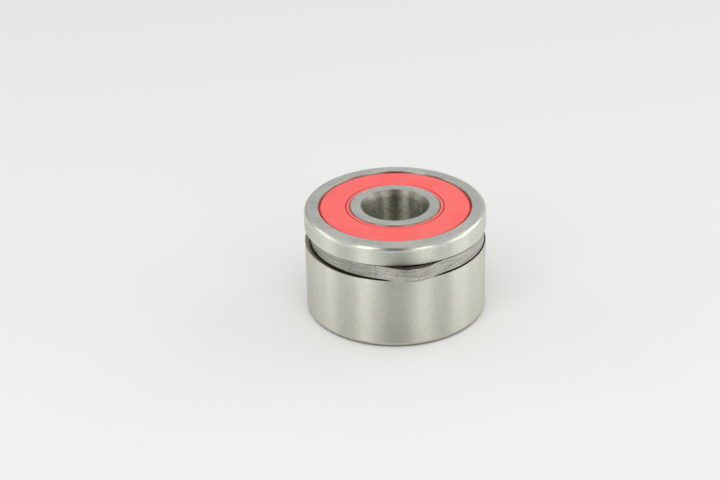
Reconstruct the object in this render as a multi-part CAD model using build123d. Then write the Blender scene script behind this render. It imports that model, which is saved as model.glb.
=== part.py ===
# Wide sealed deep-groove ball bearing whose outer ring carries a sprung locking ring in an eccentric groove.
# The ground rings run on one row of balls held by a riveted two-piece ribbon cage. A red rubber seal moulded
# on a pressed steel core closes each side. The locking ring is a split flat wire that follows the groove and
# bulges out of it in one hump, which grips the housing so that the outer ring cannot creep.
# Frame: millimetres, origin on the axis at half the width, +Z along the axis towards the face beside the
# locking groove. Directions round the axis are angles from -Y towards +X.
import os
from math import asin, cos, degrees, pi, radians, sin, sqrt, tan

from build123d import *

# Boundary of the bearing
bore_diameter = 8.0
outside_diameter = 23.0
width = 14.0
outside_corner = 0.6
bore_corner = 0.35
bore_corner_length = 0.65
bore_corner_blend = 0.8

# Raceways, which leave the balls what the two walls don't take
inner_wall = 1.6
outer_wall = 1.88
race_clearance = 0.025
race_relief = 0.055
shoulder_share = 0.215

# Ribbon cage and its rivets
cage_sheet = 0.45
cage_ring_gap = 0.3
pocket_clearance = 0.07
pocket_bend = 0.3
rivet_shank_share = 0.38
rivet_head_share = 1.65
rivet_head_height = 0.32
rivet_crown = 0.2
rivet_clearance = 0.02
rivet_margin = 0.02

# Seal seats in the two rings
seal_rim_wall = 1.78
seal_rim_depth = 0.75
seal_seat_depth = 1.45
seal_undercut = 0.3
seal_rim_chamfer = 0.05
seal_land_wall = 1.72
seal_land_length = 2.1
seal_land_corner = 0.12

# Seals: rubber face, bead and lip on a pressed core
seal_recess = 0.12
seal_edge_gap = 0.3
seal_face_corner = 0.1
rubber_cover = 0.32
core_sheet = 0.4
core_flange = 0.25
core_edge_cover = 0.25
bead_clearance = 0.03
lip_clearance = 0.04
lip_length = 0.72
lip_thickness = 0.5
lip_tip = 0.06
crease_offset = 0.44
crease_width = 0.1
crease_depth = 0.28

# Locking ring and its eccentric groove
lip_height = 2.45
lock_width = 1.82
lock_gap_above = 0.05
lock_gap_below = 0.23
lock_thickness = 0.7
lock_eccentricity = 0.5
lock_floor_clearance = 0.03
lock_flush_depth = 0.02
lock_edge_round = 0.12
hump_rise = 0.95
hump_radius = 4.8
hump_blend = 12.4
free_end_opening = 0.75
split_gap = 0.1
groove_edge_chamfer = 0.05

# Directions round the axis, in degrees
shallow_direction = 32.0
hump_direction = 8.4
split_direction = -13.7
lift_direction = -49.0

# How near an edge has to lie to the place where it is looked for
tolerance = 0.001

# Radii and heights worked out from the sizes above
bore_radius = bore_diameter / 2
outside_radius = outside_diameter / 2
half_width = width / 2
ball_radius = (outside_radius - bore_radius - inner_wall - outer_wall - 2 * race_clearance) / 2
inner_race_radius = bore_radius + inner_wall
outer_race_radius = outside_radius - outer_wall
pitch_radius = inner_race_radius + race_clearance + ball_radius
race_curve_radius = ball_radius + race_clearance + race_relief
shoulder_height = shoulder_share * 2 * ball_radius
inner_shoulder_radius = inner_race_radius + shoulder_height
outer_shoulder_radius = outer_race_radius - shoulder_height

cage_inner_radius = inner_shoulder_radius + cage_ring_gap
cage_outer_radius = outer_shoulder_radius - cage_ring_gap
pocket_radius = ball_radius + pocket_clearance
dome_radius = pocket_radius + cage_sheet
rivet_radius = rivet_shank_share * (cage_outer_radius - cage_inner_radius) / 2
rivet_head_radius = rivet_head_share * rivet_radius
bend_radius = sqrt(dome_radius**2 - cage_sheet**2)
bend_reach = pocket_bend * tan((pi / 2 - asin(cage_sheet / dome_radius)) / 2)
bridge_half = bend_radius + bend_reach + rivet_head_radius + rivet_margin
ball_count = int(180 / degrees(asin(bridge_half / pitch_radius)))

seal_rim_radius = outside_radius - seal_rim_wall
seal_undercut_radius = seal_rim_radius + seal_undercut
seal_land_radius = bore_radius + seal_land_wall
rim_height = half_width - seal_rim_depth
undercut_height = rim_height - seal_undercut / 2
seat_height = half_width - seal_seat_depth

groove_top = half_width - lip_height
lock_top = groove_top - lock_gap_above
lock_bottom = lock_top - lock_width
groove_bottom = lock_bottom - lock_gap_below
lock_outer_radius = outside_radius - lock_eccentricity - lock_flush_depth
groove_floor_radius = lock_outer_radius - lock_thickness - lock_floor_clearance


def around(radius, direction, height=0.0):
    """The point at that radius and height, in a direction counted from -Y towards +X."""
    angle = radians(direction)
    return Vector(radius * sin(angle), -radius * cos(angle), height)


lock_axis = around(lock_eccentricity, shallow_direction)


def turned(*points):
    """Solid of revolution about Z from a closed half-section, given as (radius, height) points."""
    outline = Polyline(*[(radius, 0, height) for radius, height in points], close=True)
    return revolve(make_face(outline), Axis.Z)


def rims(solid, radius, height):
    """The circular edges of a turned solid at that radius and height."""
    return [
        edge
        for edge in solid.edges().filter_by(GeomType.CIRCLE)
        if abs(edge.radius - radius) < tolerance
        and abs(edge.center(CenterOf.BOUNDING_BOX).Z - height) < tolerance
    ]


def both_sides(solid, radius, height):
    """The circular edges at that radius, at the height and at its mirror height."""
    return rims(solid, radius, height) + rims(solid, radius, -height)


def make_outer_ring():
    """Ground outer ring: raceway, an undercut seal seat each side, and the eccentric outside groove."""
    ring = turned(
        (outside_radius, -half_width),
        (outside_radius, half_width),
        (seal_rim_radius, half_width),
        (seal_rim_radius, rim_height),
        (seal_undercut_radius, undercut_height),
        (seal_undercut_radius, seat_height),
        (outer_shoulder_radius, seat_height),
        (outer_shoulder_radius, -seat_height),
        (seal_undercut_radius, -seat_height),
        (seal_undercut_radius, -undercut_height),
        (seal_rim_radius, -rim_height),
        (seal_rim_radius, -half_width),
    )
    ring = fillet(both_sides(ring, outside_radius, half_width), outside_corner)
    ring = chamfer(both_sides(ring, seal_rim_radius, half_width), seal_rim_chamfer)
    ring -= Torus(outer_race_radius - race_curve_radius, race_curve_radius)
    groove_width = groove_top - groove_bottom
    floor = Pos(lock_axis.X, lock_axis.Y) * Cylinder(groove_floor_radius, groove_width)
    groove = Cylinder(outside_diameter, groove_width) - floor
    ring -= Pos(0, 0, (groove_top + groove_bottom) / 2) * groove
    edges = rims(ring, outside_radius, groove_top) + rims(ring, outside_radius, groove_bottom)
    return chamfer(edges, groove_edge_chamfer)


def make_inner_ring():
    """Ground inner ring: bore, raceway between raised shoulders, and a lower land for each seal lip."""
    shoulder = half_width - seal_land_length
    step = inner_shoulder_radius - seal_land_radius
    corner_height = half_width - bore_corner_length
    ring = turned(
        (bore_radius, corner_height),
        (bore_radius + bore_corner, half_width),
        (seal_land_radius, half_width),
        (seal_land_radius, shoulder + step),
        (inner_shoulder_radius, shoulder),
        (inner_shoulder_radius, -shoulder),
        (seal_land_radius, -shoulder - step),
        (seal_land_radius, -half_width),
        (bore_radius + bore_corner, -half_width),
        (bore_radius, -corner_height),
    )
    ring = fillet(both_sides(ring, bore_radius, corner_height), bore_corner_blend)
    ring = fillet(both_sides(ring, seal_land_radius, half_width), seal_land_corner)
    return ring - Torus(inner_race_radius + race_curve_radius, race_curve_radius)


def ball_direction(index):
    """Direction of a ball, or of a rivet where the index is a half; the first ball stands at -Y."""
    return index * 360 / ball_count


def flat_band(inner, outer, height):
    """Flat ring that stands on the plane of the ball centres."""
    ring = Cylinder(outer, height, align=(Align.CENTER, Align.CENTER, Align.MIN))
    return ring - Cylinder(inner, height, align=(Align.CENTER, Align.CENTER, Align.MIN))


def make_cage_half():
    """Upper half of the ribbon cage: a flat band pressed up over each ball and pierced for the rivets."""
    half = flat_band(cage_inner_radius - pocket_bend, cage_outer_radius + pocket_bend, cage_sheet)
    for index in range(ball_count):
        half += Pos(*around(pitch_radius, ball_direction(index))) * Sphere(dome_radius)
    bends = [
        edge
        for edge in half.edges().filter_by(GeomType.CIRCLE)
        if abs(edge.center().Z - cage_sheet) < tolerance and abs(edge.radius - bend_radius) < tolerance
    ]
    half = fillet(bends, pocket_bend)
    half &= flat_band(cage_inner_radius, cage_outer_radius, dome_radius)
    for index in range(ball_count):
        half -= Pos(*around(pitch_radius, ball_direction(index))) * Sphere(pocket_radius)
        hole = Pos(*around(pitch_radius, ball_direction(index + 0.5)))
        half -= hole * Cylinder(rivet_radius + rivet_clearance, 4 * cage_sheet)
    return half


def make_rivet(index):
    """Cage rivet with a crowned head on each outer face of the two halves."""
    rivet = Cylinder(rivet_radius, 2 * cage_sheet)
    head = Cylinder(rivet_head_radius, rivet_head_height, align=(Align.CENTER, Align.CENTER, Align.MIN))
    head = fillet(head.edges().group_by(Axis.Z)[-1], min(rivet_crown, rivet_head_radius / 2))
    head = Pos(0, 0, cage_sheet) * head
    rivet += head + mirror(head, Plane.XY)
    return Pos(*around(pitch_radius, ball_direction(index + 0.5))) * rivet


# Section of the upper seal, as radii and heights
face_height = half_width - seal_recess
core_top = face_height - rubber_cover
core_bottom = core_top - core_sheet
neck_radius = seal_rim_radius - seal_edge_gap
bead_radius = seal_undercut_radius - bead_clearance
bead_top = undercut_height - bead_clearance
core_outer_radius = neck_radius - core_edge_cover / 2
lip_radius = seal_land_radius + lip_clearance
core_inner_radius = lip_radius + lip_length
flange_bottom = core_bottom - core_flange
lip_bottom = face_height - lip_thickness
crease_radius = lip_radius + crease_offset


def make_seal_core():
    """Pressed steel core of the upper seal: a flat washer with its outer edge turned in to the balls."""
    return turned(
        (core_inner_radius, core_top),
        (core_outer_radius, core_top),
        (core_outer_radius, flange_bottom),
        (core_outer_radius - core_sheet, flange_bottom),
        (core_outer_radius - core_sheet, core_bottom),
        (core_inner_radius, core_bottom),
    )


def make_seal_rubber():
    """Rubber of the upper seal: face, bead that snaps into the undercut, and lip with its crease."""
    rubber = turned(
        (neck_radius, face_height),
        (neck_radius, bead_top),
        (bead_radius, bead_top),
        (bead_radius, seat_height),
        (core_outer_radius - core_sheet, seat_height),
        (core_outer_radius - core_sheet, flange_bottom),
        (core_outer_radius, flange_bottom),
        (core_outer_radius, core_top),
        (core_inner_radius, core_top),
        (core_inner_radius, core_bottom),
        (lip_radius + lip_tip, lip_bottom),
        (lip_radius, lip_bottom + lip_tip),
        (lip_radius, face_height - lip_tip),
        (lip_radius + lip_tip, face_height),
        (crease_radius - crease_width / 2, face_height),
        (crease_radius, face_height - crease_depth),
        (crease_radius + crease_width / 2, face_height),
    )
    return fillet(rims(rubber, neck_radius, face_height), seal_face_corner)


def blend_centre(first, first_radius, second, second_radius, side):
    """Centre of the hump's flank arc, which touches two circles from outside on one side of their line."""
    line = second - first
    first_reach = first_radius + hump_blend
    second_reach = second_radius + hump_blend
    along = (line.length**2 + first_reach**2 - second_reach**2) / (2 * line.length)
    across = side * sqrt(first_reach**2 - along**2)
    ahead = line.normalized()
    return first + ahead * along + Vector(-ahead.Y, ahead.X) * across


def toward(centre, target, radius):
    """The point of a circle that faces a target."""
    return centre + (target - centre).normalized() * radius


def arc_about(centre, start, end, turn=1):
    """Arc from start to end about a centre: the short way round, or the long way where turn is -1."""
    middle = (start + end) * 0.5
    return ThreePointArc(start, toward(centre, middle, turn * (start - centre).length), end)


def make_locking_ring():
    """Split flat-wire ring: it lies on the groove's floor, lifts near its ends and has one hump."""
    seat_centre = Vector(0, 0)
    free_radius = lock_outer_radius + free_end_opening
    free_centre = around(-free_end_opening, lift_direction)
    hump_centre = around(lock_outer_radius + hump_rise - hump_radius, hump_direction)
    before = blend_centre(free_centre, free_radius, hump_centre, hump_radius, -1)
    after = blend_centre(seat_centre, lock_outer_radius, hump_centre, hump_radius, 1)
    lift = around(lock_outer_radius, lift_direction)
    foot_before = toward(free_centre, before, free_radius)
    crest_start = toward(hump_centre, before, hump_radius)
    crest_end = toward(hump_centre, after, hump_radius)
    foot_after = toward(seat_centre, after, lock_outer_radius)
    outline = make_face(
        [
            arc_about(free_centre, lift, foot_before),
            arc_about(before, foot_before, crest_start),
            arc_about(hump_centre, crest_start, crest_end),
            arc_about(after, crest_end, foot_after),
            arc_about(seat_centre, foot_after, lift, -1),
        ]
    )
    wire = outline - offset(outline, -lock_thickness)
    ring = extrude(wire, lock_width / 2, both=True)
    rounded = ring.edges().group_by(Axis.Z)[0] + ring.edges().group_by(Axis.Z)[-1]
    ring = fillet(rounded, lock_edge_round)
    slit = Box(split_gap, 4 * lock_thickness, 2 * lock_width)
    ring -= Pos(*around(lock_outer_radius, split_direction)) * Rot(0, 0, split_direction) * slit
    return Pos(lock_axis.X, lock_axis.Y, (lock_top + lock_bottom) / 2) * ring


def main():
    os.makedirs("parts", exist_ok=True)
    core = make_seal_core()
    rubber = make_seal_rubber()
    cage = make_cage_half()
    nodes = {
        "outer_ring": make_outer_ring(),
        "inner_ring": make_inner_ring(),
        "locking_ring": make_locking_ring(),
        "upper_seal_rubber": rubber,
        "upper_seal_core": core,
        "lower_seal_rubber": mirror(rubber, Plane.XY),
        "lower_seal_core": mirror(core, Plane.XY),
        "upper_cage_half": cage,
        "lower_cage_half": mirror(cage, Plane.XY),
    }
    for index in range(ball_count):
        nodes[f"ball_{index + 1}"] = Pos(*around(pitch_radius, ball_direction(index))) * Sphere(ball_radius)
        nodes[f"cage_rivet_{index + 1}"] = make_rivet(index)
    for name, solid in nodes.items():
        export_step(solid, f"parts/{name}.step")


main()
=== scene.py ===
import math

import bmesh
import bpy
from mathutils import Matrix, Vector


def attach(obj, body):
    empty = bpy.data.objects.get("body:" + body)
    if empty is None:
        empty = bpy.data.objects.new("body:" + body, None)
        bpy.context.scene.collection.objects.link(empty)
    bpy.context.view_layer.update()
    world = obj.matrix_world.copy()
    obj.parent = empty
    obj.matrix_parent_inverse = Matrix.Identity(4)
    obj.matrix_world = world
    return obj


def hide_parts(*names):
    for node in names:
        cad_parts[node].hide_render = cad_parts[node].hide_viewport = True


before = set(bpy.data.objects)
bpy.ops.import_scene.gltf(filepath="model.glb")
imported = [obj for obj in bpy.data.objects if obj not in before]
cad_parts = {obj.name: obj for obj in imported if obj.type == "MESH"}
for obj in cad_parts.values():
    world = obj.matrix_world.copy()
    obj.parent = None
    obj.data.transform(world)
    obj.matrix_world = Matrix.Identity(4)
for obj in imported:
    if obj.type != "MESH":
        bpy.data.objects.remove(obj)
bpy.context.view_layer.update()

mm = 0.001  # sizes below are in millimetres, angles in degrees from -Y towards +X
roundSteps = 288  # sides of a full turn on the rings
supportGap = 0.05  # flat strip kept beside each rounding, so the flats shade flat
wideRounding = 0.2  # a larger rounding gets more segments
sharpAngle = 32  # edges that turn by more than this stay sharp
grooveOffset = 0.5  # the outside groove and its locking ring are turned about a place off the axis
shallowSide = 32.0  # direction of that place, in which the groove is shallowest


def around(radius, direction, height=0.0):
    angle = math.radians(direction)
    return Vector((radius * math.sin(angle), -radius * math.cos(angle), height))


lockAxis = around(grooveOffset, shallowSide)


# Node helpers

def node(tree, kind, inputs=None, **settings):
    made = tree.nodes.new(kind)
    for name, value in settings.items():
        setattr(made, name, value)
    for name, value in (inputs or {}).items():
        if isinstance(value, bpy.types.NodeSocket):
            tree.links.new(value, made.inputs[name])
        else:
            made.inputs[name].default_value = value
    return made


def maths(tree, operation, *values):
    made = tree.nodes.new("ShaderNodeMath")
    made.operation = operation
    for socket, value in zip(made.inputs, values):
        if isinstance(value, bpy.types.NodeSocket):
            tree.links.new(value, socket)
        else:
            socket.default_value = value
    return made.outputs[0]


def mapped(tree, value, low, high, toLow=0.0, toHigh=1.0, smooth=True):
    made = node(tree, "ShaderNodeMapRange", {"Value": value, "From Min": low, "From Max": high,
                                             "To Min": toLow, "To Max": toHigh})
    made.interpolation_type = "SMOOTHSTEP" if smooth else "LINEAR"
    return made.outputs["Result"]


def mixed(tree, factor, first, second, blend="MIX"):
    made = node(tree, "ShaderNodeMix", data_type="RGBA", blend_type=blend)
    for index, value in ((0, factor), (6, first), (7, second)):
        if isinstance(value, bpy.types.NodeSocket):
            tree.links.new(value, made.inputs[index])
        else:
            made.inputs[index].default_value = value
    return made.outputs[2]


def noise(tree, vector, scale, detail=2.0, roughness=0.5):
    made = node(tree, "ShaderNodeTexNoise", {"Vector": vector, "Scale": scale, "Detail": detail,
                                             "Roughness": roughness})
    return made.outputs["Fac"]


def axisDistance(tree, split, axis=(0, 0)):
    # distance from an upright line through that place, for separated Object coordinates
    across = [maths(tree, "SUBTRACT", split[index], axis[index]) for index in (0, 1)]
    squares = [maths(tree, "POWER", value, 2) for value in across]
    return maths(tree, "SQRT", maths(tree, "ADD", *squares))


def shaderGroup(name, inputs, outputs):
    tree = bpy.data.node_groups.new(name, "ShaderNodeTree")
    for label, kind, value in inputs:
        made = tree.interface.new_socket(name=label, in_out="INPUT", socket_type=kind)
        if value is not None:
            made.default_value = value
    for label, kind in outputs:
        tree.interface.new_socket(name=label, in_out="OUTPUT", socket_type=kind)
    given = tree.nodes.new("NodeGroupInput").outputs
    result = tree.nodes.new("NodeGroupOutput").inputs
    return tree, given, result


def useGroup(tree, group, **values):
    made = tree.nodes.new("ShaderNodeGroup")
    made.node_tree = group
    for name, value in values.items():
        if isinstance(value, bpy.types.NodeSocket):
            tree.links.new(value, made.inputs[name])
        else:
            made.inputs[name].default_value = value
    return made.outputs


# Shared surface effects; each takes Object coordinates and gives masks from 0 to 1
groundLook = {"lineDensity": 9.0, "lineWaver": 0.16, "mottleDensity": 2.2, "mottleFlatten": 1.8,
              "smudgeDensity": 0.22, "smudgeFrom": 0.38, "smudgeFull": 0.66, "detail": 3.0, "roughness": 0.6}


def makeGroundLines():
    # lines round the axis on every face of a turned piece, fine mottling and broad smudges
    look = groundLook
    tree, given, result = shaderGroup(
        "Ground lines",
        [("Position", "NodeSocketVector", None), ("Line Density", "NodeSocketFloat", look["lineDensity"]),
         ("Line Waver", "NodeSocketFloat", look["lineWaver"]), ("Radius Share", "NodeSocketFloat", 1.0),
         ("Mottle Density", "NodeSocketFloat", look["mottleDensity"]),
         ("Smudge Density", "NodeSocketFloat", look["smudgeDensity"])],
        [("Lines", "NodeSocketFloat"), ("Mottle", "NodeSocketFloat"), ("Smudge", "NodeSocketFloat")])
    place = node(tree, "ShaderNodeVectorMath", operation="SCALE")
    tree.links.new(given["Position"], place.inputs[0])
    place.inputs["Scale"].default_value = 1 / mm
    place = place.outputs[0]
    split = node(tree, "ShaderNodeSeparateXYZ", {0: place}).outputs
    radius = axisDistance(tree, split)
    across = maths(tree, "SUBTRACT", maths(tree, "ABSOLUTE", split[2]),
                   maths(tree, "MULTIPLY", radius, given["Radius Share"]))
    along = node(tree, "ShaderNodeCombineXYZ", {0: maths(tree, "MULTIPLY", across, given["Line Density"]),
                                                1: maths(tree, "MULTIPLY", split[0], given["Line Waver"]),
                                                2: maths(tree, "MULTIPLY", split[1], given["Line Waver"])})
    lines = noise(tree, along.outputs[0], 1.0, look["detail"], look["roughness"])
    tree.links.new(lines, result["Lines"])
    flat = node(tree, "ShaderNodeVectorMath", {1: (1, 1, look["mottleFlatten"])}, operation="MULTIPLY")
    tree.links.new(place, flat.inputs[0])
    mottle = noise(tree, flat.outputs[0], given["Mottle Density"], look["detail"], look["roughness"])
    tree.links.new(mottle, result["Mottle"])
    smudge = noise(tree, place, given["Smudge Density"])
    tree.links.new(mapped(tree, smudge, look["smudgeFrom"], look["smudgeFull"]), result["Smudge"])
    return tree


scratchLook = {"stretch": 9, "halfWidth": 0.012, "patchDensity": 0.35, "patchFrom": 0.6, "patchFull": 0.66,
               "pitDensity": 2.6, "pitFrom": 0.7, "pitFull": 0.76}
scratchRows = [
    # turn and tilt of the marks in radians, marks to the millimetre
    (0.4, 0.3, 0.9),
    (1.7, -0.8, 0.6),
    (2.6, 1.1, 1.3),
]


def makeScratches():
    # short straight marks in many directions, and small pits
    look = scratchLook
    tree, given, result = shaderGroup(
        "Handling marks",
        [("Position", "NodeSocketVector", None), ("Amount", "NodeSocketFloat", 0.5)],
        [("Scratches", "NodeSocketFloat"), ("Pits", "NodeSocketFloat")])
    total = None
    for turn, tilt, density in scratchRows:
        scale = (density / mm, look["stretch"] * density / mm, density / mm)
        turned = node(tree, "ShaderNodeMapping", {"Rotation": (tilt, turn, turn + tilt), "Scale": scale})
        tree.links.new(given["Position"], turned.inputs["Vector"])
        fine = noise(tree, turned.outputs[0], 1.0, 1.0)
        offMiddle = maths(tree, "ABSOLUTE", maths(tree, "SUBTRACT", fine, 0.5))
        mark = mapped(tree, offMiddle, 0.0, look["halfWidth"], 1.0, 0.0)
        where = noise(tree, given["Position"], look["patchDensity"] * density / mm, 0.0)
        held = maths(tree, "MULTIPLY", mark, mapped(tree, where, look["patchFrom"], look["patchFull"]))
        total = held if total is None else maths(tree, "MAXIMUM", total, held)
    tree.links.new(maths(tree, "MULTIPLY", total, given["Amount"]), result["Scratches"])
    pits = mapped(tree, noise(tree, given["Position"], look["pitDensity"] / mm, 1.0), look["pitFrom"],
                  look["pitFull"])
    tree.links.new(maths(tree, "MULTIPLY", pits, given["Amount"]), result["Pits"])
    return tree


groundLines = makeGroundLines()
handlingMarks = makeScratches()


# Materials
grainTurn = 0.25  # anisotropic rotation that draws out along the axis what the turned steel mirrors


def newMaterial(name):
    made = bpy.data.materials.new(name)
    made.use_nodes = True
    tree = made.node_tree
    tree.nodes.clear()
    shader = node(tree, "ShaderNodeBsdfPrincipled")
    output = node(tree, "ShaderNodeOutputMaterial")
    tree.links.new(shader.outputs[0], output.inputs["Surface"])
    place = node(tree, "ShaderNodeTexCoord").outputs["Object"]
    return made, tree, shader, place


def makeMetal(shader, anisotropic=0.0):
    shader.inputs["Metallic"].default_value = 1.0
    shader.inputs["Anisotropic"].default_value = anisotropic
    shader.inputs["Anisotropic Rotation"].default_value = grainTurn if anisotropic else 0.0


def addBump(tree, shader, height, distance):
    bump = node(tree, "ShaderNodeBump", {"Height": height, "Distance": distance, "Strength": 1.0})
    tree.links.new(bump.outputs[0], shader.inputs["Normal"])


# the ground cylinders, the flat faces and the bore differ in how far the grinding blurs what they mirror
ringSteelLooks = {
    "ground": {"light": (0.77, 0.78, 0.70, 1), "dark": (0.69, 0.70, 0.62, 1), "smudged": 0.1,
               "roughness": 0.36, "anisotropic": 1.0, "bump": 0.9e-6, "marks": 0.3},
    "face": {"light": (0.75, 0.765, 0.725, 1), "dark": (0.58, 0.595, 0.56, 1), "smudged": 0.55,
             "roughness": 0.33, "anisotropic": 0.0, "bump": 0.6e-6, "marks": 0.7},
    "bore": {"light": (0.79, 0.79, 0.69, 1), "dark": (0.46, 0.46, 0.385, 1), "smudged": 0.2,
             "roughness": 0.31, "anisotropic": 1.0, "bump": 0.7e-6, "marks": 0.6},
    # the same darker look on the inner ring's land corner is painted shade beside the seal lip
    "mouth": {"light": (0.43, 0.42, 0.34, 1), "dark": (0.31, 0.30, 0.24, 1), "smudged": 0.5,
              "roughness": 0.38, "anisotropic": 0.5, "bump": 0.9e-6, "marks": 0.6},
    "corner": {"light": (0.76, 0.77, 0.70, 1), "dark": (0.67, 0.68, 0.61, 1), "smudged": 0.1,
               "roughness": 0.27, "anisotropic": 0.55, "bump": 0.8e-6, "marks": 0.5},
}
ringSteelWear = {"wornFrom": 0.32, "wornFull": 0.68, "scratch": (0.85, 0.85, 0.82, 1), "scratchShare": 0.6,
                 "pit": (0.2, 0.19, 0.16, 1), "pitShare": 0.5, "pitDepth": 0.8, "lineHeight": 0.5,
                 "roughSpread": 0.04}
# the groove in painted shade under the lip, grease with painted contact shadow beside the locking ring,
# painted shade that thins out upwards, and a painted contact shadow at the foot
ringSteelPlaces = {"groove": (0.50, 0.48, 0.37, 1), "greaseAndShadow": (0.065, 0.059, 0.04, 1),
                   "grooveMiddle": 3.5, "grooveHalf": 1.09, "grooveOutside": 11.44, "grooveInside": 9.9,
                   "greaseShadowStart": 11.02, "greaseShadowEnd": 11.5,
                   "shadeBottom": -7.0, "lowShadeTop": 2.4, "paintedLowShade": (0.90, 0.89, 0.87, 1),
                   "footShadowTop": -6.4, "footShadow": (0.15, 0.14, 0.095, 1)}


def makeRingSteel(name):
    look = ringSteelLooks[name]
    wear = ringSteelWear
    spots = ringSteelPlaces
    made, tree, shader, place = newMaterial("ring_steel_" + name)
    surface = useGroup(tree, groundLines, Position=place)
    marks = useGroup(tree, handlingMarks, Position=place, Amount=look["marks"])
    mottle = mapped(tree, surface["Mottle"], wear["wornFrom"], wear["wornFull"])
    worn = maths(tree, "ADD", maths(tree, "MULTIPLY", surface["Smudge"], look["smudged"]),
                 maths(tree, "MULTIPLY", mottle, 1 - look["smudged"]))
    base = mixed(tree, worn, look["dark"], look["light"])
    scratched = maths(tree, "MULTIPLY", marks["Scratches"], wear["scratchShare"])
    base = mixed(tree, scratched, base, wear["scratch"])
    base = mixed(tree, maths(tree, "MULTIPLY", marks["Pits"], wear["pitShare"]), base, wear["pit"])
    split = node(tree, "ShaderNodeSeparateXYZ", {0: place}).outputs
    radius = axisDistance(tree, split)
    # the groove below the lip, whose colour is painted shade
    level = maths(tree, "ABSOLUTE", maths(tree, "SUBTRACT", split[2], spots["grooveMiddle"] * mm))
    inWidth = maths(tree, "LESS_THAN", level, spots["grooveHalf"] * mm)
    inDepth = maths(tree, "MULTIPLY", maths(tree, "LESS_THAN", radius, spots["grooveOutside"] * mm),
                    maths(tree, "GREATER_THAN", radius, spots["grooveInside"] * mm))
    inGroove = maths(tree, "MULTIPLY", inWidth, inDepth)
    # grease together with painted contact shadow next to the locking ring, fading to the groove's painted
    # shade
    fromRing = mapped(tree, axisDistance(tree, split, lockAxis * mm), spots["greaseShadowStart"] * mm,
                      spots["greaseShadowEnd"] * mm)
    base = mixed(tree, inGroove, base, mixed(tree, fromRing, spots["greaseAndShadow"], spots["groove"]))
    # painted shade: the steel gets darker towards the bottom of the ring
    paintedLowShade = mapped(tree, split[2], spots["shadeBottom"] * mm, spots["lowShadeTop"] * mm, 1.0, 0.0, False)
    base = mixed(tree, paintedLowShade, base, mixed(tree, 1.0, base, spots["paintedLowShade"], "MULTIPLY"))
    # painted contact shadow along the bottom edge, where the ring stands on the floor
    footShadow = mapped(tree, split[2], spots["shadeBottom"] * mm, spots["footShadowTop"] * mm, 1.0, 0.0, False)
    base = mixed(tree, footShadow, base, spots["footShadow"])
    tree.links.new(base, shader.inputs["Base Color"])
    rough = look["roughness"]
    for effect in ("Smudge", "Lines"):
        rough = maths(tree, "ADD", rough, maths(tree, "MULTIPLY", surface[effect], wear["roughSpread"]))
    tree.links.new(rough, shader.inputs["Roughness"])
    makeMetal(shader, look["anisotropic"])
    ridges = maths(tree, "MULTIPLY", surface["Lines"], wear["lineHeight"])
    height = maths(tree, "SUBTRACT", maths(tree, "ADD", ridges, surface["Mottle"]),
                   maths(tree, "MULTIPLY", marks["Pits"], wear["pitDepth"]))
    addBump(tree, shader, height, look["bump"])
    return made


# rolled wire: painted shade on its top edge under the lip, and painted shade on the left part
springSteelLook = {"light": (0.61, 0.615, 0.57, 1), "dark": (0.33, 0.33, 0.30, 1),
                   "lineDensity": 11.0, "lineWaver": 0.3, "mottleDensity": 1.6,
                   "streakFrom": 0.34, "streakFull": 0.62, "dimFrom": 0.3, "dimFull": 0.55, "dimmest": 0.55,
                   "top": (0.09, 0.085, 0.07, 1), "topShadeFrom": 4.41, "topShadeFull": 4.48,
                   "paintedLeftShade": (0.81, 0.82, 0.79, 1), "leftShadeFrom": -2.2, "leftShadeTo": -3.2,
                   "scratch": (0.78, 0.78, 0.75, 1), "pit": (0.10, 0.10, 0.085, 1), "marks": 0.9,
                   "markShare": 0.7, "roughness": 0.40, "roughSpread": 0.1, "anisotropic": 0.8,
                   "bump": 1.2e-6}


def makeSpringSteel():
    look = springSteelLook
    made, tree, shader, place = newMaterial("spring_steel_look")
    surface = useGroup(tree, groundLines, Position=place,
                       **{"Line Density": look["lineDensity"], "Line Waver": look["lineWaver"],
                          "Radius Share": 0.0, "Mottle Density": look["mottleDensity"]})
    marks = useGroup(tree, handlingMarks, Position=place, Amount=look["marks"])
    dimmed = mapped(tree, surface["Mottle"], look["dimFrom"], look["dimFull"], look["dimmest"], 1.0)
    streak = mapped(tree, surface["Lines"], look["streakFrom"], look["streakFull"])
    base = mixed(tree, maths(tree, "MULTIPLY", streak, dimmed), look["dark"], look["light"])
    split = node(tree, "ShaderNodeSeparateXYZ", {0: place}).outputs
    # painted shade on the left part of the wire, under the lip
    paintedLeftShade = mapped(tree, split[0], look["leftShadeTo"] * mm, look["leftShadeFrom"] * mm, 1.0, 0.0)
    base = mixed(tree, paintedLeftShade, base, mixed(tree, 1.0, base, look["paintedLeftShade"], "MULTIPLY"))
    # painted shade on the top of the wire, under the lip
    base = mixed(tree, mapped(tree, split[2], look["topShadeFrom"] * mm, look["topShadeFull"] * mm), base, look["top"])
    base = mixed(tree, maths(tree, "MULTIPLY", marks["Scratches"], look["markShare"]), base, look["scratch"])
    base = mixed(tree, maths(tree, "MULTIPLY", marks["Pits"], look["markShare"]), base, look["pit"])
    tree.links.new(base, shader.inputs["Base Color"])
    spread = maths(tree, "MULTIPLY", surface["Mottle"], look["roughSpread"])
    tree.links.new(maths(tree, "ADD", look["roughness"], spread), shader.inputs["Roughness"])
    makeMetal(shader, look["anisotropic"])
    addBump(tree, shader, surface["Lines"], look["bump"])
    return made


plainSteelLooks = {
    "ball_steel_look": {"colour": (0.62, 0.62, 0.61), "roughness": 0.06, "mottleDensity": 0.5},
    "cage_steel_look": {"colour": (0.50, 0.49, 0.46), "roughness": 0.30, "mottleDensity": 2.0},
    "core_steel_look": {"colour": (0.45, 0.45, 0.44), "roughness": 0.38, "mottleDensity": 2.0},
}
plainSteelWear = {"darkShare": 0.85, "roughSpread": 0.08}


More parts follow.
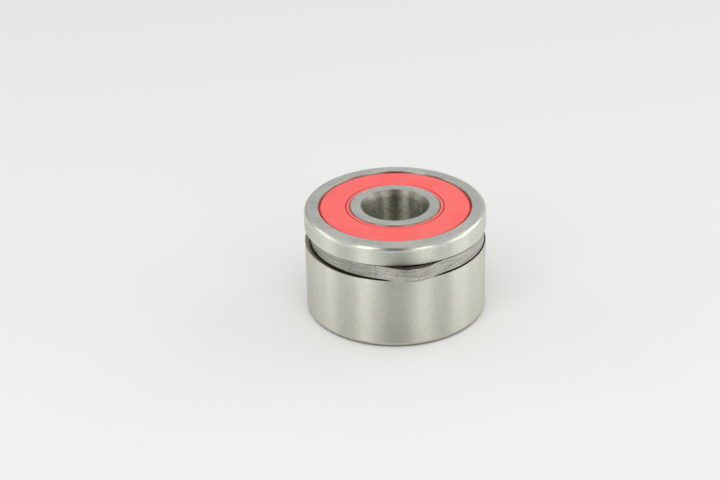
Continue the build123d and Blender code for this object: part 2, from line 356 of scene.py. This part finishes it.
def makePlainSteel(name):
    look = plainSteelLooks[name]
    wear = plainSteelWear
    made, tree, shader, place = newMaterial(name)
    surface = useGroup(tree, groundLines, Position=place, **{"Mottle Density": look["mottleDensity"]})
    dark = [wear["darkShare"] * part for part in look["colour"]]
    base = mixed(tree, surface["Mottle"], [*dark, 1], [*look["colour"], 1])
    tree.links.new(base, shader.inputs["Base Color"])
    spread = maths(tree, "MULTIPLY", surface["Smudge"], wear["roughSpread"])
    tree.links.new(maths(tree, "ADD", look["roughness"], spread), shader.inputs["Roughness"])
    makeMetal(shader)
    return made


rubberLook = {"colour": (0.985, 0.147, 0.138, 1), "worn": (0.97, 0.132, 0.123, 1), "mottleDensity": 4.0,
              "roughness": 0.48, "roughSpread": 0.1, "bump": 0.8e-6, "crease": (0.42, 0.014, 0.016, 1),
              "creaseRadius": 6.2, "creaseReach": 0.07, "creaseTop": 6.875, "creaseFaint": 2.0,
              "creaseFull": 5.4, "creaseLeast": 0.15}


def makeRubber():
    look = rubberLook
    made, tree, shader, place = newMaterial("seal_rubber_look")
    surface = useGroup(tree, groundLines, Position=place, **{"Mottle Density": look["mottleDensity"]})
    split = node(tree, "ShaderNodeSeparateXYZ", {0: place}).outputs
    radius = axisDistance(tree, split)
    # painted shade in the crease between the seal's lips, strong at the left and right and faint at the
    # front and back
    offCrease = maths(tree, "ABSOLUTE", maths(tree, "SUBTRACT", radius, look["creaseRadius"] * mm))
    inWidth = maths(tree, "LESS_THAN", offCrease, look["creaseReach"] * mm)
    inDepth = maths(tree, "LESS_THAN", maths(tree, "ABSOLUTE", split[2]), look["creaseTop"] * mm)
    sideways = mapped(tree, maths(tree, "ABSOLUTE", split[0]), look["creaseFaint"] * mm,
                      look["creaseFull"] * mm, look["creaseLeast"], 1.0)
    inCrease = maths(tree, "MULTIPLY", maths(tree, "MULTIPLY", inWidth, inDepth), sideways)
    base = mixed(tree, surface["Smudge"], look["colour"], look["worn"])
    tree.links.new(mixed(tree, inCrease, base, look["crease"]), shader.inputs["Base Color"])
    spread = maths(tree, "MULTIPLY", surface["Smudge"], look["roughSpread"])
    tree.links.new(maths(tree, "ADD", look["roughness"], spread), shader.inputs["Roughness"])
    addBump(tree, shader, surface["Mottle"], look["bump"])
    return made


ringSteel = [makeRingSteel(name) for name in ringSteelLooks]
springSteel = makeSpringSteel()
rubber = makeRubber()
ballSteel, cageSteel, coreSteel = [makePlainSteel(name) for name in plainSteelLooks]
print("materials made")


# Geometry helpers

def sectionEdges(work, outline):
    # closed half-section in the XZ plane; each row is radius, height and rounding
    count = len(outline)
    corners = [Vector((radius * mm, 0, height * mm)) for radius, height, rounding in outline]
    path = []
    for index, corner in enumerate(corners):
        rounding = outline[index][2]
        for side in (-1, 1):
            if side == 1:
                path.append((corner, rounding))
            other = (index + side) % count
            room = (corners[other] - corner).length / mm - rounding - outline[other][2]
            if rounding and room > 3 * supportGap:
                ahead = (corners[other] - corner).normalized()
                path.append((corner + ahead * (rounding + supportGap) * mm, 0))
    made = [work.verts.new(place) for place, rounding in path]
    for index, vert in enumerate(made):
        work.edges.new((vert, made[(index + 1) % len(made)]))
    for vert, (place, rounding) in zip(list(made), path):
        if rounding:
            bmesh.ops.bevel(work, geom=[vert], offset=rounding * mm, offset_type="OFFSET", affect="VERTICES",
                            segments=8 if rounding > wideRounding else 4, profile=0.5, material=-1)


def finishPiece(work, name, body, nodes, material):
    bmesh.ops.recalc_face_normals(work, faces=work.faces)
    mesh = bpy.data.meshes.new(name)
    work.to_mesh(mesh)
    work.free()
    mesh.shade_smooth()
    mesh.set_sharp_from_angle(angle=math.radians(sharpAngle))
    for part in material if isinstance(material, list) else [material]:
        mesh.materials.append(part)
    piece = bpy.data.objects.new(name, mesh)
    bpy.context.scene.collection.objects.link(piece)
    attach(piece, body)
    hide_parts(*nodes)


ringZones = {"face": 6.95, "boreReach": 4.36, "mouth": 6.34, "corner": 6.4, "cornerReach": 10.9,
             "landInside": 5.6, "landReach": 5.73, "landCorner": 6.86}


def dressRing(work):
    # other materials on the end faces, in the bore and on its mouth, and on the corners of both rings
    zones = ringZones
    places = list(ringSteelLooks)
    for face in work.faces:
        middle = face.calc_center_median()
        face.normal_update()
        radius = middle.xy.length / mm
        level = abs(middle.z) / mm
        if abs(face.normal.z) > 0.999 and level > zones["face"]:
            face.material_index = places.index("face")
        elif radius < zones["boreReach"]:
            face.material_index = places.index("mouth" if level > zones["mouth"] else "bore")
        # painted shade: the inner ring's rounded corner beside the seal lip takes the darker mouth look
        elif zones["landInside"] < radius < zones["landReach"] and level > zones["landCorner"]:
            face.material_index = places.index("mouth")
        elif radius > zones["cornerReach"] and level > zones["corner"]:
            face.material_index = places.index("corner")


def spun(outline, steps=roundSteps):
    work = bmesh.new()
    sectionEdges(work, outline)
    bmesh.ops.spin(work, geom=work.verts[:] + work.edges[:], cent=(0, 0, 0), axis=(0, 0, 1), dvec=(0, 0, 0),
                   angle=math.tau, steps=steps, use_merge=True, use_duplicate=False)
    bmesh.ops.remove_doubles(work, verts=work.verts, dist=1e-8)
    return work


def arcRows(centre, radius, reach, count):
    # rows of a raceway: an arc from a height down to its mirror height; a negative radius bulges inwards
    turn = math.asin(reach / abs(radius))
    turns = [turn * (1 - 2 * step / count) for step in range(count + 1)]
    return [(centre + radius * math.cos(angle), abs(radius) * math.sin(angle), 0) for angle in turns]


def mirrored(outline):
    return [(radius, -height, rounding) for radius, height, rounding in outline]


# Outer ring
outerRing = {"outside": 11.5, "end": 7, "corner": 0.6, "grooveFloor": 10.25, "grooveLow": 2.45,
             "grooveHigh": 4.55, "grooveEdge": 0.05, "mouth": 9.72, "mouthEnd": 6.25, "seat": 10.02,
             "seatTop": 6.1, "seatEnd": 5.55, "shoulder": 8.77, "edge": 0.05, "seatEdge": 0.03,
             "raceCentre": 7.555, "raceRadius": 2.065, "raceReach": 1.6698, "raceSteps": 14}


def makeOuterRing():
    size = outerRing
    inside = [
        (size["mouth"], size["end"], size["edge"]),
        (size["mouth"], size["mouthEnd"], size["seatEdge"]),
        (size["seat"], size["seatTop"], size["seatEdge"]),
        (size["seat"], size["seatEnd"], 0),
        (size["shoulder"], size["seatEnd"], size["edge"]),
    ]
    work = spun([
        (size["outside"], -size["end"], size["corner"]),
        (size["outside"], size["grooveLow"], size["grooveEdge"]),
        (size["grooveFloor"], size["grooveLow"], 0),
        (size["grooveFloor"], size["grooveHigh"], 0),
        (size["outside"], size["grooveHigh"], size["grooveEdge"]),
        (size["outside"], size["end"], size["corner"]),
        *inside,
        *arcRows(size["raceCentre"], size["raceRadius"], size["raceReach"], size["raceSteps"]),
        *reversed(mirrored(inside)),
    ])
    near = 0.01
    for vert in work.verts:
        onFloor = abs(vert.co.xy.length / mm - size["grooveFloor"]) < near
        if onFloor and size["grooveLow"] - near < vert.co.z / mm < size["grooveHigh"] + near:
            vert.co += lockAxis * mm
    dressRing(work)
    finishPiece(work, "outerRingLook", "outer", ["outer_ring"], ringSteel)


makeOuterRing()
print("outer ring made")


# Inner ring
innerRing = {"bore": 4.0, "end": 7, "mouth": 4.35, "mouthEdge": 0.04, "chamferEnd": 6.35,
             "chamferBlend": 0.2, "land": 5.72, "landCorner": 0.12, "shoulder": 6.4534,
             "shoulderEnd": 4.9, "shoulderEdge": 0.05, "raceCentre": 7.665, "raceRadius": -2.065,
             "raceReach": 1.6719, "raceSteps": 14}


def makeInnerRing():
    size = innerRing
    upper = [
        (size["bore"], size["chamferEnd"], size["chamferBlend"]),
        (size["mouth"], size["end"], size["mouthEdge"]),
        (size["land"], size["end"], size["landCorner"]),
        (size["land"], size["shoulderEnd"] + size["shoulder"] - size["land"], 0),
        (size["shoulder"], size["shoulderEnd"], size["shoulderEdge"]),
    ]
    race = arcRows(size["raceCentre"], size["raceRadius"], size["raceReach"], size["raceSteps"])
    work = spun([*upper, *race, *reversed(mirrored(upper))])
    dressRing(work)
    finishPiece(work, "innerRingLook", "inner", ["inner_ring"], ringSteel)


makeInnerRing()
print("inner ring made")


# Seals: red rubber moulded on a pressed core, one on each side
sealSize = {"face": 6.88, "neck": 9.42, "neckEnd": 6.07, "faceCorner": 0.1, "bead": 9.99, "beadEnd": 5.55,
            "beadEdge": 0.03, "lip": 5.76, "lipCorner": 0.06, "lipEnd": 6.44, "lipBend": 5.82,
            "lipBendHeight": 6.38, "crease": 6.2, "creaseHalf": 0.05, "creaseDepth": 0.28,
            "creaseEdge": 0.02, "coreBore": 6.48, "coreTop": 6.56, "coreUnder": 6.16,
            "coreOutside": 9.295, "coreBend": 0.1, "flangeInside": 8.895, "flangeEnd": 5.91,
            "coreEdge": 0.02, "coreSteps": 192}


def makeSeals():
    size = sealSize
    rubberOutline = [
        (size["neck"], size["face"], size["faceCorner"]),
        (size["neck"], size["neckEnd"], 0),
        (size["bead"], size["neckEnd"], size["beadEdge"]),
        (size["bead"], size["beadEnd"], size["beadEdge"]),
        (size["flangeInside"], size["beadEnd"], 0),
        (size["flangeInside"], size["flangeEnd"], 0),
        (size["coreOutside"], size["flangeEnd"], 0),
        (size["coreOutside"], size["coreTop"], 0),
        (size["coreBore"], size["coreTop"], 0),
        (size["coreBore"], size["coreUnder"], 0),
        (size["lipBend"], size["lipBendHeight"], 0),
        (size["lip"], size["lipEnd"], 0),
        (size["lip"], size["face"], size["lipCorner"]),
        (size["crease"] - size["creaseHalf"], size["face"], size["creaseEdge"]),
        (size["crease"], size["face"] - size["creaseDepth"], 0),
        (size["crease"] + size["creaseHalf"], size["face"], size["creaseEdge"]),
    ]
    coreOutline = [
        (size["coreBore"], size["coreTop"], size["coreEdge"]),
        (size["coreOutside"], size["coreTop"], size["coreBend"]),
        (size["coreOutside"], size["flangeEnd"], size["coreEdge"]),
        (size["flangeInside"], size["flangeEnd"], size["coreEdge"]),
        (size["flangeInside"], size["coreUnder"], 0),
        (size["coreBore"], size["coreUnder"], size["coreEdge"]),
    ]
    for side, turn in (("upper", list), ("lower", mirrored)):
        finishPiece(spun(turn(rubberOutline)), side + "SealRubberLook", "outer", [side + "_seal_rubber"],
                    rubber)
        finishPiece(spun(turn(coreOutline), size["coreSteps"]), side + "SealCoreLook", "outer",
                    [side + "_seal_core"], coreSteel)


makeSeals()
print("seals made")


# Locking ring: a split flat wire that follows the groove, opens away at its free end and has one hump
lockRing = {"outer": 10.98, "thickness": 0.7, "low": 2.68, "high": 4.5, "edge": 0.12, "split": -13.7,
            "splitGap": 0.04, "lift": -49.0, "opening": 0.75, "hump": 8.4, "humpRise": 0.95,
            "humpRadius": 4.8, "humpBlend": 12.4, "steps": 560}


def flatAround(radius, direction):
    return around(radius, direction).xy


def blendCentre(first, firstRadius, second, secondRadius, side):
    # centre of the arc that touches two circles from outside
    line = second - first
    firstReach = firstRadius + lockRing["humpBlend"]
    secondReach = secondRadius + lockRing["humpBlend"]
    along = (line.length_squared + firstReach ** 2 - secondReach ** 2) / (2 * line.length)
    ahead = line.normalized()
    across = Vector((-ahead.y, ahead.x)) * side
    return first + ahead * along + across * math.sqrt(firstReach ** 2 - along ** 2)


def directionOf(place):
    # direction of a place from the ring's own axis, counted on from where the ring leaves the groove
    start = lockRing["lift"]
    return (math.degrees(math.atan2(place.x, -place.y)) - start) % 360 + start


def outlineArcs():
    # the arcs of the ring's outside in turn, each with the direction in which it ends
    size = lockRing
    seat = Vector((0, 0))
    free = flatAround(-size["opening"], size["lift"])
    freeRadius = size["outer"] + size["opening"]
    crest = flatAround(size["outer"] + size["humpRise"] - size["humpRadius"], size["hump"])
    before = blendCentre(free, freeRadius, crest, size["humpRadius"], -1)
    after = blendCentre(seat, size["outer"], crest, size["humpRadius"], 1)
    ends = [free + (before - free).normalized() * freeRadius,
            crest + (before - crest).normalized() * size["humpRadius"],
            crest + (after - crest).normalized() * size["humpRadius"],
            seat + (after - seat).normalized() * size["outer"]]
    arcs = [(free, freeRadius, 1), (before, size["humpBlend"], -1), (crest, size["humpRadius"], 1),
            (after, size["humpBlend"], -1), (seat, size["outer"], 1)]
    return list(zip([directionOf(end) for end in ends] + [size["lift"] + 360], arcs))


def outlinePoint(arcs, direction):
    # point and outward normal of the ring's outside in a direction from its own axis
    centre, radius, sign = next(arc for end, arc in arcs if direction <= end + 1e-6)
    ahead = flatAround(1, direction)
    along = ahead.dot(centre)
    reach = along + sign * math.sqrt(along ** 2 - centre.length_squared + radius ** 2)
    place = ahead * reach
    return place, (place - centre).normalized() * sign


def makeLockRing():
    # a plain ring first, then each point moves to its place beside the outline of arcs
    size = lockRing
    inner = size["outer"] - size["thickness"]
    work = bmesh.new()
    corners = [(size["outer"], size["low"]), (size["outer"], size["high"]), (inner, size["high"]),
               (inner, size["low"])]
    sectionEdges(work, [(radius, height, size["edge"]) for radius, height in corners])
    halfSplit = math.degrees(size["splitGap"] / 2 / size["outer"])
    start = Matrix.Rotation(math.radians(size["split"] + halfSplit - 90), 3, "Z")
    bmesh.ops.rotate(work, cent=(0, 0, 0), matrix=start, verts=work.verts)
    bmesh.ops.spin(work, geom=work.verts[:] + work.edges[:], cent=(0, 0, 0), axis=(0, 0, 1), dvec=(0, 0, 0),
                   angle=math.radians(360 - 2 * halfSplit), steps=size["steps"], use_merge=False,
                   use_duplicate=False)
    rim = [edge for edge in work.edges if edge.is_boundary]
    bmesh.ops.holes_fill(work, edges=rim, sides=0)
    arcs = outlineArcs()
    for vert in work.verts:
        flat = vert.co.xy / mm
        place, outward = outlinePoint(arcs, directionOf(flat))
        place = place - outward * (size["outer"] - flat.length)
        vert.co.x = (place.x + lockAxis.x) * mm
        vert.co.y = (place.y + lockAxis.y) * mm
    finishPiece(work, "lockingRingLook", "locking", ["locking_ring"], springSteel)


makeLockRing()
print("locking ring made")


# Balls, rivets and cage, which the seals hide
ballSet = {"count": 7, "radius": 1.985, "pitch": 7.61, "ballSteps": 64, "rivetRadius": 0.3268,
           "headRadius": 0.5392, "sheet": 0.45, "headHeight": 0.32, "headCrown": 0.2, "rivetSteps": 48}


def makeBalls():
    size = ballSet
    top = size["sheet"] + size["headHeight"]
    rivetOutline = [(size["rivetRadius"], -size["sheet"], 0), (size["rivetRadius"], size["sheet"], 0),
                    (size["headRadius"], size["sheet"], 0), (size["headRadius"], top, size["headCrown"]),
                    (0, top, 0), (0, -top, 0), (size["headRadius"], -top, size["headCrown"]),
                    (size["headRadius"], -size["sheet"], 0)]
    step = 360 / size["count"]
    for index in range(size["count"]):
        work = bmesh.new()
        bmesh.ops.create_uvsphere(work, u_segments=size["ballSteps"], v_segments=size["ballSteps"] // 2,
                                  radius=size["radius"] * mm)
        bmesh.ops.translate(work, vec=around(size["pitch"], index * step) * mm, verts=work.verts)
        finishPiece(work, f"ballLook{index + 1}", f"rolling_ball_{index + 1}", [f"ball_{index + 1}"],
                    ballSteel)
        work = spun(rivetOutline, size["rivetSteps"])
        bmesh.ops.translate(work, vec=around(size["pitch"], (index + 0.5) * step) * mm, verts=work.verts)
        finishPiece(work, f"cageRivetLook{index + 1}", "cage", [f"cage_rivet_{index + 1}"],
                    cageSteel)
    for name in ("upper_cage_half", "lower_cage_half"):
        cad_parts[name].material_slots[0].material = cageSteel


makeBalls()
print("balls, rivets and cage made")


# Floor
floorLook = {"colour": (0.87, 0.87, 0.865, 1), "roughness": 0.6, "height": -7.0, "size": 1600}


def paperPiece(work, name, paperName, colour, roughness):
    mesh = bpy.data.meshes.new(name)
    work.to_mesh(mesh)
    work.free()
    made, tree, shader, place = newMaterial(paperName)
    shader.inputs["Base Color"].default_value = colour
    shader.inputs["Roughness"].default_value = roughness
    mesh.materials.append(made)
    piece = bpy.data.objects.new(name, mesh)
    bpy.context.scene.collection.objects.link(piece)
    return piece


def makeFloor():
    look = floorLook
    work = bmesh.new()
    bmesh.ops.create_grid(work, x_segments=1, y_segments=1, size=look["size"] / 2 * mm)
    bmesh.ops.translate(work, vec=(0, 0, look["height"] * mm), verts=work.verts)
    floor = paperPiece(work, "floor", "floor_paper", look["colour"], look["roughness"])


def aimed(piece, direction, elevation, distance):
    # sets a piece at that distance from the bearing, facing it, and gives its place
    level = math.radians(elevation)
    place = around(distance * math.cos(level), direction, distance * math.sin(level)) * mm
    piece.location = place
    piece.rotation_euler = place.to_track_quat("Z", "Y").to_euler()
    return place


# Cards that the steel mirrors as darker parts of the room; they cast no shadow and the camera misses them
cardRows = [
    # name, direction, elevation, distance, width, height, width at the top as a share, colour
    ("darkCard", 0, 40.4, 308, 200, 500, 0.4, (0.09, 0.09, 0.09, 1)),
    ("greyCard", -145, 12, 300, 300, 210, 1.0, (0.5, 0.5, 0.5, 1)),
]


def makeCards():
    for name, direction, elevation, distance, width, height, topShare, colour in cardRows:
        work = bmesh.new()
        bmesh.ops.create_grid(work, x_segments=1, y_segments=1, size=0.5)
        bmesh.ops.scale(work, vec=(topShare, 1, 1), verts=[vert for vert in work.verts if vert.co.y > 0])
        bmesh.ops.scale(work, vec=(width * mm, height * mm, 1), verts=work.verts)
        card = paperPiece(work, name, name + "_paper", colour, 1.0)
        aimed(card, direction, elevation, distance)
        card.visible_camera = False
        card.visible_diffuse = False
        card.visible_shadow = False


# Light; the steel mirrors every lamp but the fill
lampRows = [
    # name, direction, elevation, distance, width, height, radiance, colour
    ("stripLeft", -40, 36, 520, 150, 420, 1.8, (1, 1, 0.98)),
    ("stripRight", 35, 26, 520, 175, 280, 1.5, (1, 1, 0.98)),
    ("sideLeft", -84, 14, 520, 150, 200, 1.45, (1, 1, 1)),
    ("sideRight", 84, 17, 520, 240, 240, 1.5, (1, 1, 1)),
    ("softboxRight", 120, 30, 520, 230, 240, 1.35, (1, 0.99, 0.97)),
    ("softboxLeft", -111, 31, 520, 180, 180, 1.35, (0.98, 0.99, 1)),
    ("fill", 0, 65, 520, 300, 300, 2.0, (1, 1, 1)),
]
worldLook = {"colour": (1, 1, 0.99, 1), "strength": 0.63}


def makeLamps():
    for name, direction, elevation, distance, width, height, radiance, colour in lampRows:
        lamp = bpy.data.lights.new(name, "AREA")
        lamp.shape = "RECTANGLE"
        lamp.size = width * mm
        lamp.size_y = height * mm
        lamp.energy = radiance * math.pi * width * height * mm * mm
        lamp.color = colour
        made = bpy.data.objects.new(name, lamp)
        aimed(made, direction, elevation, distance)
        made.visible_glossy = name != "fill"
        bpy.context.scene.collection.objects.link(made)
    world = bpy.data.worlds.new("studio")
    world.use_nodes = True
    backdrop = world.node_tree.nodes["Background"]
    backdrop.inputs["Color"].default_value = worldLook["colour"]
    backdrop.inputs["Strength"].default_value = worldLook["strength"]
    bpy.context.scene.world = world


# Camera, fitted to the photograph: the origin lies off the image's centre, so the view is turned
cameraFit = {"distance": 200.046, "elevation": 28.665, "roll": 0.0093, "focal": 1561.2, "originX": 395.37,
             "originY": 253.42, "width": 720, "height": 480, "sensor": 36, "near": 0.005, "far": 10}


def makeCamera():
    fit = cameraFit
    lens = bpy.data.cameras.new("camera")
    lens.sensor_width = fit["sensor"]
    lens.lens = fit["focal"] / fit["width"] * fit["sensor"]
    lens.clip_start = fit["near"]
    lens.clip_end = fit["far"]
    made = bpy.data.objects.new("camera", lens)
    place = aimed(made, 0, fit["elevation"], fit["distance"])
    look = place.to_track_quat("Z", "Y").to_matrix()
    toOrigin = Vector(((fit["originX"] - fit["width"] / 2) / fit["focal"],
                       -(fit["originY"] - fit["height"] / 2) / fit["focal"], -1)).normalized()
    offAxis = Vector((0, 0, -1)).rotation_difference(toOrigin).to_matrix()
    turned = look @ Matrix.Rotation(fit["roll"], 3, "Z").inverted() @ offAxis.inverted()
    made.rotation_euler = turned.to_euler()
    bpy.context.scene.collection.objects.link(made)
    bpy.context.scene.camera = made


makeFloor()
makeCards()
makeLamps()
makeCamera()
bpy.context.scene.view_settings.view_transform = "Standard"
print("floor, lamps and camera made")
